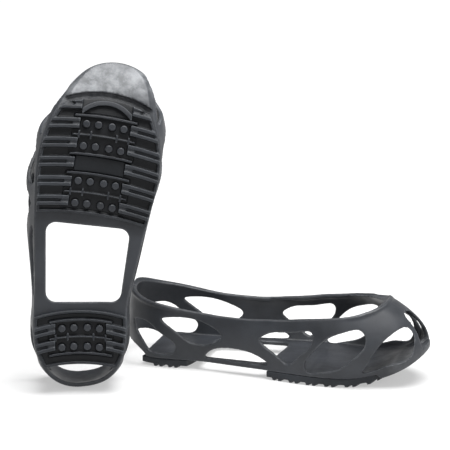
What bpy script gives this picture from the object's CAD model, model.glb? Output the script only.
"""The looks of a pair of slip-on ice cleats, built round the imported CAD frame.

The rubber mouldings are refined copies of their CAD solids: closed, rounded along every edge as
a moulding is, with a rolled lip along the web, and finished with procedural rubber materials.
Lengths are metres and angles are degrees where nothing else is said.
"""

import math

import bmesh
import bpy
import numpy as np
from mathutils import Matrix, Vector


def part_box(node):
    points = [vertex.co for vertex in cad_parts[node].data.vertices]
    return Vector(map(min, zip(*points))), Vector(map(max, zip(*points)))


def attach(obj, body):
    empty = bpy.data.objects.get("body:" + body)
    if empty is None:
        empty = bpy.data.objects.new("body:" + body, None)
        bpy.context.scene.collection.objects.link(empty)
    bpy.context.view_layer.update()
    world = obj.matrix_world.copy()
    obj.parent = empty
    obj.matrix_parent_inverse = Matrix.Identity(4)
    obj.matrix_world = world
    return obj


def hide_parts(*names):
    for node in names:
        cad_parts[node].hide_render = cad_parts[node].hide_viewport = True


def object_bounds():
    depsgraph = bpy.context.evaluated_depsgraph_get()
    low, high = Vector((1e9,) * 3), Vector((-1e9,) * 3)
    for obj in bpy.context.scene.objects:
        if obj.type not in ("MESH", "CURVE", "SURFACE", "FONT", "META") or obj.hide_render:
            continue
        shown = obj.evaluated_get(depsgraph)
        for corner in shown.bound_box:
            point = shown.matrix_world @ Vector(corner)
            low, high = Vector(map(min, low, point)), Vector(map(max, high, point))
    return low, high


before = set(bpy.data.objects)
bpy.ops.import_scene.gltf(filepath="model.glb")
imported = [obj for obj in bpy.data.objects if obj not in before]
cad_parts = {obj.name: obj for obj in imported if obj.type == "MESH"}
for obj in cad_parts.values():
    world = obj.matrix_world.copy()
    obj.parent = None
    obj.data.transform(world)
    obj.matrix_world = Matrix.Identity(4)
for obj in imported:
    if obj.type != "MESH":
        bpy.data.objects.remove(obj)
cad_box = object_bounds()

MM = 0.001
SIDES = ("left", "right")
GROUND = cad_box[0][2]

# ---- the photograph's view ----
VIEW_TURN = 17.25  # round from -Y towards +X
VIEW_RISE = 11.57  # above the level
VIEW_DISTANCE = 1.974  # from the camera to the view's middle
VIEW_SPAN = 0.4542  # width of the view at that distance
AIM_RIGHT, AIM_UP = 0.0924, 0.1296  # the view's middle, from the flat cleat's heel
SENSOR_WIDTH = 36.0  # millimetres
VIEW_LIMIT = 50.0

# ---- the same driving dimensions as the CAD source ----
LONG_AXIS_TURN = 3.7
RIGHT_FACING, RIGHT_LEAN, RIGHT_ROLL = 21.4, 7.0, 1.0
HEEL_PEGS_MIDDLE = 47.39 * MM  # from the back of the heel to the middle of the heel pegs
PEG_MIDDLE_HEIGHT = 4.2 * MM
TOE_BEND, TOE_RADIUS = 225.0, 120.0  # the sole's curl at the toe, in millimetres
PLAN_MIDDLE = (140 * MM, -8 * MM)  # the middle of a cleat in plan, in its own frame

# ---- the refined meshes ----
WELD = 0.002 * MM  # points nearer than this are one point
WEB_GRAIN = 1.0 * MM
FINE_GRAIN = 0.62 * MM
INSERT_GRAIN = 0.36 * MM
PEG_GRAIN = 0.3 * MM
RELAXING = 0.5  # how far one round of smoothing moves a point towards its neighbours' middle

# ---- the rolled upper lip of the web ----
LIP_STATIONS = 150
LIP_SIDES = 10
LIP_RADIUS = 2.5 * MM
LIP_SINK = 1.5 * MM  # from the web's upper edge down to the lip's middle
EDGE_DEPTH = 1.0 * MM  # points this near the highest one belong to the upper edge
EDGE_LOWEST = 45 * MM  # a station whose points are all lower has no upper edge
PLAN_SQUASH = 0.4  # spaces the stations of a long narrow cleat evenly
EDGE_ROUNDS = 3  # rounds of smoothing along the edge

# ---- wear and dirt, in millimetres in the cleat's own frame: where it starts and is full ----
TOE_WEAR_AHEAD = (262, 282)  # the toe bumper's wear, from the back of the heel
TOE_WEAR_ABOVE = (22, 46)  # it fades from the first height to the second
CAP_WEAR_AHEAD = (235, 275)
CAP_WEAR = 0.15
SCUFFING = {"left": 0.3, "right": 1.0}  # how worn each cleat's toe is
GROOVE_DEPTH = (0.8, 4.6)  # above the ground face of the bars
GROOVE_FACING = (0.2, 0.7)  # how squarely a floor faces the ground, from 0 to 1
GROOVE_SOOT = 0.9

# ---- the rubber's patterns: scale per metre, detail, roughness ----
MOTTLE = (26.0, 6.0, 0.55)
WEAR_PATCHES = (90.0, 8.0, 0.7)
SPECKS = (420.0, 4.0, 0.8)
GLOSS_PATCHES = (60.0, 5.0, 0.55)
GRAIN = (900.0, 5.0, 0.65)
GRAIN_DEPTH = 0.00012
GRAIN_STRENGTH = 0.55

# ---- where a pattern or a mesh's pointiness starts and is full, and what that gives ----
NONE_TO_ALL = (0.0, 1.0)
MOTTLE_RANGE = (0.32, 0.68)
EDGE_RANGE = (0.512, 0.575)
HOLLOW_RANGE, HOLLOW_SOOT = (0.44, 0.495), (0.6, 0.0)
PATCH_RANGE, PATCH_WEAR = (0.40, 0.62), (0.25, 1.0)
SPECK_RANGE, SPECK_AMOUNT = (0.60, 0.74), (0.0, 0.30)
GLOSS_RANGE = (0.3, 0.7)
GLOSSIER, DULLER = 0.08, 0.10  # how far the roughness strays each way

# ---- tones of the base colour ----
MOTTLE_DARK, MOTTLE_LIGHT = 0.72, 1.28
SOOT_TONE = 0.30
SPECK_TONE = 2.0

# ---- the rubbers by slot: base colour, colour of wear, wear on edges, roughness, specular ----
RUBBERS = {
    "harness_rubber": ((0.0212, 0.0235, 0.0280), (0.150, 0.157, 0.166), 0.6, 0.44, 0.34),
    "tread_rubber": ((0.0190, 0.0212, 0.0250), (0.105, 0.112, 0.122), 0.7, 0.46, 0.20),
    "insert_rubber": ((0.0135, 0.0152, 0.0185), (0.105, 0.112, 0.122), 0.8, 0.42, 0.20),
    "plate_rubber": ((0.0140, 0.0160, 0.0190), (0.060, 0.066, 0.072), 0.5, 0.48, 0.18),
    "peg_rubber": ((0.0170, 0.0190, 0.0230), (0.110, 0.118, 0.130), 0.7, 0.36, 0.32),
}

# ---- the mouldings of a cleat: slot, grain of the mesh, rounds of smoothing ----
MOULDINGS = {
    "harness": ("harness_rubber", WEB_GRAIN, 4),
    "forefoot_tread": ("tread_rubber", FINE_GRAIN, 6),
    "heel_tread": ("tread_rubber", FINE_GRAIN, 6),
    "toe_arc": ("tread_rubber", FINE_GRAIN, 3),
    "front_grip_insert": ("insert_rubber", INSERT_GRAIN, 4),
    "rear_grip_insert": ("insert_rubber", INSERT_GRAIN, 4),
    "heel_grip_insert": ("insert_rubber", INSERT_GRAIN, 4),
    "centre_plate": ("plate_rubber", FINE_GRAIN, 2),
    "front_pegs": ("peg_rubber", PEG_GRAIN, 12),
    "rear_pegs": ("peg_rubber", PEG_GRAIN, 12),
    "heel_pegs": ("peg_rubber", PEG_GRAIN, 12),
}

# ---- the studio ----
WHITE = (1, 1, 1, 1)
FLOOR_SIZE = 14.0
FLOOR_GAP = 0.0003  # below the lowest lugs
FLOOR_COLOUR = (0.42, 0.42, 0.42, 1)
FLOOR_ROUGHNESS, FLOOR_SPECULAR = 0.9, 0.1
GLOW_REACH, GLOW = (0.35, 1.6), (0.45, 0.95)  # the floor's own light grows with distance
SKY_REACH, SKY = (-0.9, 0.9), (0.05, 0.42)  # the world's light grows along X
HORIZON_REACH, HORIZON = (0.10, 0.22), (1.0, 0.0)  # white up to a low height, then none
LIGHTS_AIM = (0, 0, 0.1)
LIGHTS = (  # name, place, size, power in watts
    ("top_light", (0.2, -0.15, 1.35), 1.3, 44.0),
    ("front_light", (-0.3, -1.7, 0.9), 0.8, 1.5),
    ("side_light", (1.4, -0.9, 0.9), 0.8, 5.0),
)


# ---------------------------------------------------------------- where the cleats stand


def turned(x=0.0, y=0.0, z=0.0):
    """A rotation about X, then about Y, then about Z."""
    return (
        Matrix.Rotation(math.radians(z), 3, "Z")
        @ Matrix.Rotation(math.radians(y), 3, "Y")
        @ Matrix.Rotation(math.radians(x), 3, "X")
    )


def cleat_axes(side):
    """The directions of a cleat's own frame; the left one's run forwards, outwards and up."""
    if side == "left":
        return turned(z=LONG_AXIS_TURN)
    upright = Matrix(((0, -1, 0), (0, 0, 1), (1, 0, 0)))
    return turned(z=RIGHT_FACING) @ turned(x=-RIGHT_LEAN) @ turned(y=RIGHT_ROLL) @ upright


def cleat_origin(side):
    """Where the back of a cleat's heel is, at ground level in the cleat's own frame."""
    lowest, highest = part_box(f"{side}_heel_pegs")
    middle = (Vector(lowest) + Vector(highest)) / 2
    return middle - cleat_axes(side) @ Vector((HEEL_PEGS_MIDDLE, 0, PEG_MIDDLE_HEIGHT))


def own_points(mesh, side):
    """A mesh's points in the cleat's own frame."""
    points = np.empty(len(mesh.vertices) * 3)
    mesh.vertices.foreach_get("co", points)
    points = points.reshape(-1, 3) - np.array(cleat_origin(side))
    return points @ np.array(cleat_axes(side))


# ---------------------------------------------------------------- shapes


def clean_copy(node, name):
    """A welded copy of a CAD node's mesh, as a new object."""
    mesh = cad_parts[node].data.copy()
    mesh.materials.clear()
    bm = bmesh.new()
    bm.from_mesh(mesh)
    bmesh.ops.remove_doubles(bm, verts=bm.verts, dist=WELD)
    bm.to_mesh(mesh)
    bm.free()
    mesh.name = name
    piece = bpy.data.objects.new(name, mesh)
    bpy.context.scene.collection.objects.link(piece)
    return piece


def apply_modifiers(piece):
    """Turns a piece's modifiers into its mesh."""
    graph = bpy.context.evaluated_depsgraph_get()
    mesh = bpy.data.meshes.new_from_object(piece.evaluated_get(graph))
    old = piece.data
    piece.modifiers.clear()
    piece.data = mesh
    bpy.data.meshes.remove(old)
    mesh.name = piece.name


def upper_edge(mesh, side):
    """The middle line of the web's upper edge, as a closed line in the cleat's own frame."""
    points = own_points(mesh, side)
    along = (points[:, 0] - PLAN_MIDDLE[0]) * PLAN_SQUASH
    turn = np.arctan2(points[:, 1] - PLAN_MIDDLE[1], along)
    station = np.floor((turn + math.pi) / (2 * math.pi) * LIP_STATIONS).astype(int) % LIP_STATIONS
    line = np.full((LIP_STATIONS, 3), np.nan)
    for k in range(LIP_STATIONS):
        near = points[station == k]
        if len(near):
            edge = near[near[:, 2] > near[:, 2].max() - EDGE_DEPTH]
            if edge[:, 2].max() > EDGE_LOWEST:
                line[k] = (edge.min(axis=0) + edge.max(axis=0)) / 2
    known = np.flatnonzero(~np.isnan(line[:, 0]))
    for axis in range(3):
        line[:, axis] = np.interp(
            np.arange(LIP_STATIONS), known, line[known, axis], period=LIP_STATIONS
        )
    for _ in range(EDGE_ROUNDS):
        line = 0.25 * np.roll(line, 1, axis=0) + 0.5 * line + 0.25 * np.roll(line, -1, axis=0)
    return line


def add_lip(piece, side):
    """Joins a rolled lip to the web, all round its upper edge."""
    line = upper_edge(piece.data, side)
    axes, origin = cleat_axes(side), cleat_origin(side)
    bm = bmesh.new()
    bm.from_mesh(piece.data)
    rings = []
    for k in range(LIP_STATIONS):
        ahead = Vector(line[(k + 1) % LIP_STATIONS] - line[k - 1]).normalized()
        across = ahead.cross(Vector((0, 0, 1))).normalized()
        upwards = across.cross(ahead)
        middle = Vector(line[k]) - Vector((0, 0, LIP_SINK))
        ring = []
        for step in range(LIP_SIDES):
            angle = 2 * math.pi * step / LIP_SIDES
            offset = across * math.cos(angle) + upwards * math.sin(angle)
            ring.append(bm.verts.new(origin + axes @ (middle + offset * LIP_RADIUS)))
        rings.append(ring)
    for k in range(LIP_STATIONS):
        ring, following = rings[k], rings[(k + 1) % LIP_STATIONS]
        for step in range(LIP_SIDES):
            beside = (step + 1) % LIP_SIDES
            bm.faces.new((ring[step], ring[beside], following[beside], following[step]))
    bm.to_mesh(piece.data)
    bm.free()


def mould(piece, grain, rounds):
    """Remeshes a piece evenly, rounds its edges as a moulding's are and keeps it above ground."""
    remesh = piece.modifiers.new("remesh", "REMESH")
    remesh.mode = "VOXEL"
    remesh.voxel_size = grain
    relax = piece.modifiers.new("relax", "SMOOTH")
    relax.factor = RELAXING
    relax.iterations = rounds
    apply_modifiers(piece)
    points = np.empty(len(piece.data.vertices) * 3)
    piece.data.vertices.foreach_get("co", points)
    points[2::3] = np.maximum(points[2::3], GROUND)
    piece.data.vertices.foreach_set("co", points)
    for polygon in piece.data.polygons:
        polygon.use_smooth = True


# ---------------------------------------------------------------- wear and dirt


def smooth_rise(values, low, high):
    """0 below low, 1 above high and a smooth rise between."""
    t = np.clip((values - low) / (high - low), 0, 1)
    return t * t * (3 - 2 * t)


def mark(piece, name, values):
    """Keeps a number for each of a piece's points, for its material to read."""
    attribute = piece.data.attributes.new(name, "FLOAT", "POINT")
    attribute.data.foreach_set("value", values.astype(np.float32))


def mark_grooves(piece, side):
    """Marks the floors of a tread, more the higher they lie above the ground face of its bars."""
    points = own_points(piece.data, side)
    normals = np.empty(len(piece.data.vertices) * 3)
    piece.data.vertices.foreach_get("normal", normals)
    facing = -(normals.reshape(-1, 3) @ np.array(cleat_axes(side)))[:, 2]
    x, z = points[:, 0] / MM, points[:, 2] / MM
    ahead = np.maximum(x - TOE_BEND, 0)
    height = np.where(x > TOE_BEND, TOE_RADIUS - np.hypot(ahead, z - TOE_RADIUS), z)
    deep = GROOVE_SOOT * smooth_rise(height, *GROOVE_DEPTH)
    mark(piece, "groove", deep * smooth_rise(facing, *GROOVE_FACING))


def mark_scuffs(piece, side):
    """Marks how scuffed each point is: most on the toe bumper, less on the toe cap."""
    points = own_points(piece.data, side)
    x, z = points[:, 0] / MM, points[:, 2] / MM
    toe = smooth_rise(x, *TOE_WEAR_AHEAD) * (1 - smooth_rise(z, *TOE_WEAR_ABOVE))
    cap = CAP_WEAR * smooth_rise(x, *CAP_WEAR_AHEAD)
    mark(piece, "scuff", SCUFFING[side] * np.maximum(toe, cap))


# ---------------------------------------------------------------- materials


def ranged(tree, value, reach, gives=NONE_TO_ALL):
    """A socket that goes from the first of gives to the second while value crosses reach."""
    node = tree.nodes.new("ShaderNodeMapRange")
    node.inputs["From Min"].default_value, node.inputs["From Max"].default_value = reach
    node.inputs["To Min"].default_value, node.inputs["To Max"].default_value = gives
    tree.links.new(value, node.inputs["Value"])
    return node.outputs["Result"]


def computed(tree, operation, first, second):
    """A socket with what an operation gives for two sockets or numbers, kept from 0 to 1."""
    node = tree.nodes.new("ShaderNodeMath")
    node.operation = operation
    node.use_clamp = True
    for socket, value in zip(node.inputs, (first, second)):
        if isinstance(value, float):
            socket.default_value = value
        else:
            tree.links.new(value, socket)
    return node.outputs["Value"]


def toned(colour, tone):
    """A colour made darker or lighter."""
    return tuple(c * tone for c in colour)


def rubber(name, base, pale, dusting, roughness, specular):
    """Moulded rubber: mottled base, pale scuffs on its edges, fine grain and a soft gloss."""
    material = bpy.data.materials.new(name)
    material.use_nodes = True
    tree = material.node_tree
    nodes, links = tree.nodes, tree.links
    nodes.clear()
    out = nodes.new("ShaderNodeOutputMaterial")
    shader = nodes.new("ShaderNodeBsdfPrincipled")
    links.new(shader.outputs["BSDF"], out.inputs["Surface"])
    place = nodes.new("ShaderNodeTexCoord")
    pointiness = nodes.new("ShaderNodeNewGeometry").outputs["Pointiness"]

    def marked(attribute):
        node = nodes.new("ShaderNodeAttribute")
        node.attribute_name = attribute
        return node.outputs["Fac"]

    def noise(scale, detail, rough):
        node = nodes.new("ShaderNodeTexNoise")
        node.inputs["Scale"].default_value = scale
        node.inputs["Detail"].default_value = detail
        node.inputs["Roughness"].default_value = rough
        links.new(place.outputs["Object"], node.inputs["Vector"])
        return node.outputs["Fac"]

    def mixed(factor, first, second):
        node = nodes.new("ShaderNodeMix")
        node.data_type = "RGBA"
        links.new(factor, node.inputs["Factor"])
        for socket, value in ((node.inputs["A"], first), (node.inputs["B"], second)):
            if isinstance(value, tuple):
                socket.default_value = (*value, 1.0)
            else:
                links.new(value, socket)
        return node.outputs["Result"]

    shade = ranged(tree, noise(*MOTTLE), MOTTLE_RANGE)
    colour = mixed(shade, toned(base, MOTTLE_DARK), toned(base, MOTTLE_LIGHT))
    edge = ranged(tree, pointiness, EDGE_RANGE)
    patches = ranged(tree, noise(*WEAR_PATCHES), PATCH_RANGE, PATCH_WEAR)
    worn = computed(tree, "MULTIPLY", computed(tree, "MULTIPLY", edge, patches), dusting)
    film = computed(tree, "MULTIPLY", marked("scuff"), patches)
    colour = mixed(computed(tree, "MAXIMUM", worn, film), colour, pale)
    hollow = ranged(tree, pointiness, HOLLOW_RANGE, HOLLOW_SOOT)
    soot = computed(tree, "MAXIMUM", hollow, marked("groove"))
    colour = mixed(soot, colour, toned(base, SOOT_TONE))
    specks = ranged(tree, noise(*SPECKS), SPECK_RANGE, SPECK_AMOUNT)
    colour = mixed(specks, colour, toned(base, SPECK_TONE))
    links.new(colour, shader.inputs["Base Color"])
    roughnesses = (roughness - GLOSSIER, roughness + DULLER)
    gloss = ranged(tree, noise(*GLOSS_PATCHES), GLOSS_RANGE, roughnesses)
    links.new(gloss, shader.inputs["Roughness"])
    shader.inputs["Specular IOR Level"].default_value = specular
    grain = nodes.new("ShaderNodeBump")
    grain.inputs["Strength"].default_value = GRAIN_STRENGTH
    grain.inputs["Distance"].default_value = GRAIN_DEPTH
    links.new(noise(*GRAIN), grain.inputs["Height"])
    links.new(grain.outputs["Normal"], shader.inputs["Normal"])
    return material


# ---------------------------------------------------------------- pieces


def build_cleats():
    """Stands a finished moulding in for each CAD node of both cleats."""
    materials = {slot: rubber(slot, *numbers) for slot, numbers in RUBBERS.items()}
    for side in SIDES:
        for part, (slot, grain, rounds) in MOULDINGS.items():
            node = f"{side}_{part}"
            piece = clean_copy(node, f"{node}_moulding")
            if part == "harness":
                add_lip(piece, side)
            mould(piece, grain, rounds)
            if part == "harness":
                mark_scuffs(piece, side)
            else:
                mark_grooves(piece, side)
            piece.data.materials.clear()
            piece.data.materials.append(materials[slot])
            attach(piece, f"{side}_cleat")
            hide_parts(node)


# ---------------------------------------------------------------- stage, light and camera


def add_floor():
    """A plain white floor. It glows more away from the cleats, which hides its far end."""
    location = (0, 0, GROUND - FLOOR_GAP)
    bpy.ops.mesh.primitive_plane_add(size=FLOOR_SIZE, location=location)
    floor = bpy.context.object
    floor.name = "studio_floor"
    paint = bpy.data.materials.new("studio_floor")
    paint.use_nodes = True
    tree = paint.node_tree
    shader = tree.nodes["Principled BSDF"]
    shader.inputs["Base Color"].default_value = FLOOR_COLOUR
    shader.inputs["Roughness"].default_value = FLOOR_ROUGHNESS
    shader.inputs["Specular IOR Level"].default_value = FLOOR_SPECULAR
    shader.inputs["Emission Color"].default_value = WHITE
    place = tree.nodes.new("ShaderNodeTexCoord")
    distance = tree.nodes.new("ShaderNodeVectorMath")
    distance.operation = "LENGTH"
    tree.links.new(place.outputs["Object"], distance.inputs[0])
    glow = ranged(tree, distance.outputs["Value"], GLOW_REACH, GLOW)
    tree.links.new(glow, shader.inputs["Emission Strength"])
    floor.data.materials.append(paint)


def add_world():
    """A soft world, brighter towards +X and white from the horizon down."""
    world = bpy.data.worlds.new("studio")
    world.use_nodes = True
    tree = world.node_tree
    background = tree.nodes["Background"]
    background.inputs["Color"].default_value = WHITE
    sky = tree.nodes.new("ShaderNodeTexCoord")
    split = tree.nodes.new("ShaderNodeSeparateXYZ")
    tree.links.new(sky.outputs["Generated"], split.inputs["Vector"])
    soft = ranged(tree, split.outputs["X"], SKY_REACH, SKY)
    horizon = ranged(tree, split.outputs["Z"], HORIZON_REACH, HORIZON)
    strength = computed(tree, "MAXIMUM", soft, horizon)
    tree.links.new(strength, background.inputs["Strength"])
    bpy.context.scene.world = world


def add_lights():
    """A broad light above, and a weak one in front and at the side."""
    for name, place, size, power in LIGHTS:
        lamp = bpy.data.lights.new(name, "AREA")
        lamp.shape = "DISK"
        lamp.size = size
        lamp.energy = power
        light = bpy.data.objects.new(name, lamp)
        light.location = place
        aim = Vector(LIGHTS_AIM) - light.location
        light.rotation_euler = aim.to_track_quat("-Z", "Y").to_euler()
        bpy.context.scene.collection.objects.link(light)


def add_camera():
    """The camera at the photograph's viewing angle."""
    turn, rise = math.radians(VIEW_TURN), math.radians(VIEW_RISE)
    right = Vector((math.cos(turn), math.sin(turn), 0))
    level = math.cos(rise)
    ahead = Vector((-math.sin(turn) * level, math.cos(turn) * level, -math.sin(rise)))
    up = right.cross(ahead)
    heel = cleat_origin("left")
    heel.z = 0
    aim = heel + right * AIM_RIGHT + up * AIM_UP
    data = bpy.data.cameras.new("camera")
    data.sensor_width = SENSOR_WIDTH
    data.lens = SENSOR_WIDTH * VIEW_DISTANCE / VIEW_SPAN
    data.clip_end = VIEW_LIMIT
    view = bpy.data.objects.new("camera", data)
    view.location = aim - ahead * VIEW_DISTANCE
    view.rotation_euler = ahead.to_track_quat("-Z", "Y").to_euler()
    bpy.context.scene.collection.objects.link(view)
    bpy.context.scene.camera = view


bpy.context.scene.view_settings.view_transform = "Standard"
build_cleats()
add_floor()
add_world()
add_lights()
add_camera()
